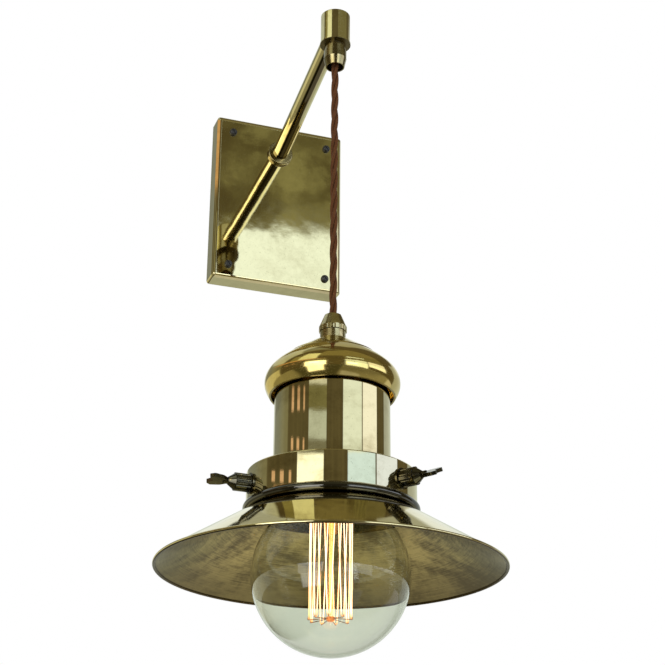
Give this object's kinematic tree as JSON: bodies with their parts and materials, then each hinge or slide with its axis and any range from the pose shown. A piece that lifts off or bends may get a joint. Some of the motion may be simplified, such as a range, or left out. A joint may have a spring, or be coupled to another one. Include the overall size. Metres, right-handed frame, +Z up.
{
  "type": "adjustable wall light",
  "caption": "Aged brass wall light: a lamp with a shallow cone shade and clear globe bulb hangs on a braided cord from an arm on a rectangular back plate.",
  "frame": {"origin": "centre of the back plate's rear edge plane, on the wall, midway between the four wall screws", "axes": "+Y into the wall, -Y out into the room, +Z up, +X to the right when facing the wall"},
  "size_m": [0.275, 0.3395, 0.5765],
  "materials": {
    "aged_brass": "polished, lightly tarnished",
    "dark_brass": "blackened",
    "bright_brass": "bright",
    "plated_steel": "zinc plated",
    "brown_braid": "braided and twisted",
    "core_sheath": "smooth",
    "black_plastic": "moulded",
    "white_core": "glazed",
    "clear_glass": "clear",
    "filament_wire": "fine drawn wire"
  },
  "bodies": {
    "bracket": {"back_plate": "aged_brass", "wall_screws": "dark_brass", "arm_flange": "aged_brass", "arm_tube": "aged_brass", "arm_washer": "plated_steel", "arm_nut": "plated_steel", "connector": "white_core", "connector_screws": "plated_steel", "end_block": "aged_brass", "end_lid": "aged_brass", "upper_grip_body": "aged_brass", "upper_grip_insert": "black_plastic", "flex_feed": "brown_braid", "supply_cores": "core_sheath"},
    "upper_nut": {"upper_grip_nut": "aged_brass"},
    "flex_bend": {"flex_bend": "brown_braid"},
    "flex": {"flex": "brown_braid"},
    "lower_insert": {"lower_grip_insert": "black_plastic"},
    "pendant": {"lower_grip_body": "aged_brass", "flex_tail": "brown_braid", "dome": "aged_brass", "threaded_tube": "plated_steel", "dome_nut": "plated_steel", "strap": "plated_steel", "strap_nuts": "plated_steel", "neck_sleeve": "aged_brass", "gallery": "aged_brass", "gallery_bead": "dark_brass", "screw_bosses": "dark_brass", "shade": "aged_brass", "holder_cap": "black_plastic", "holder_skirt": "black_plastic", "holder_core": "white_core", "holder_shell": "bright_brass", "holder_contact": "bright_brass"},
    "lower_nut": {"lower_grip_nut": "aged_brass"},
    "bulb": {"globe": "clear_glass", "lamp_cap": "bright_brass", "lamp_insulator": "black_plastic", "lamp_contact": "bright_brass", "lamp_stem": "clear_glass", "filament": "filament_wire", "lamp_supports": "filament_wire"},
    "thumbscrew_1": {"thumbscrew_1": "dark_brass"},
    "thumbscrew_2": {"thumbscrew_2": "dark_brass"},
    "thumbscrew_3": {"thumbscrew_3": "dark_brass"}
  },
  "joints": [
    {"name": "upper_nut_turn", "type": "hinge", "parent": "bracket", "child": "upper_nut", "pos_m": [0, -0.182, 0.065], "axis": [0, 0, 1], "range_deg": [0, 360]},
    {"name": "swing_sideways", "type": "hinge", "parent": "bracket", "child": "flex_bend", "pos_m": [0, -0.182, 0.0651], "axis": [0, 1, 0], "range_deg": [-15, 15]},
    {"name": "swing_fore_aft", "type": "hinge", "parent": "flex_bend", "child": "flex", "pos_m": [0, -0.182, 0.0589], "axis": [1, 0, 0], "range_deg": [-15, 5]},
    {"name": "drop_adjust", "type": "slide", "parent": "flex", "child": "lower_insert", "axis": [0, 0, 1], "range_m": [0, 0.15], "deforming": ["flex"]},
    {"name": "lamp_turn", "type": "hinge", "parent": "lower_insert", "child": "pendant", "pos_m": [0, -0.182, -0.196], "axis": [0, 0, 1], "range_deg": [-180, 180]},
    {"name": "lower_nut_turn", "type": "hinge", "parent": "pendant", "child": "lower_nut", "pos_m": [0, -0.182, -0.194], "axis": [0, 0, 1], "range_deg": [0, 360]},
    {"name": "bulb_unscrew", "type": "hinge", "parent": "pendant", "child": "bulb", "pos_m": [0, -0.182, -0.309], "axis": [0, 0, 1], "range_deg": [0, 720]},
    {"name": "thumbscrew_1_turn", "type": "hinge", "parent": "pendant", "child": "thumbscrew_1", "pos_m": [0, -0.182, -0.338], "axis": [-0.9984, -0.0558, 0], "range_deg": [0, 720]},
    {"name": "thumbscrew_2_turn", "type": "hinge", "parent": "pendant", "child": "thumbscrew_2", "pos_m": [0, -0.182, -0.338], "axis": [0.5476, -0.8368, 0], "range_deg": [0, 720]},
    {"name": "thumbscrew_3_turn", "type": "hinge", "parent": "pendant", "child": "thumbscrew_3", "pos_m": [0, -0.182, -0.338], "axis": [0.4509, 0.8926, 0], "range_deg": [0, 720]}
  ]
}
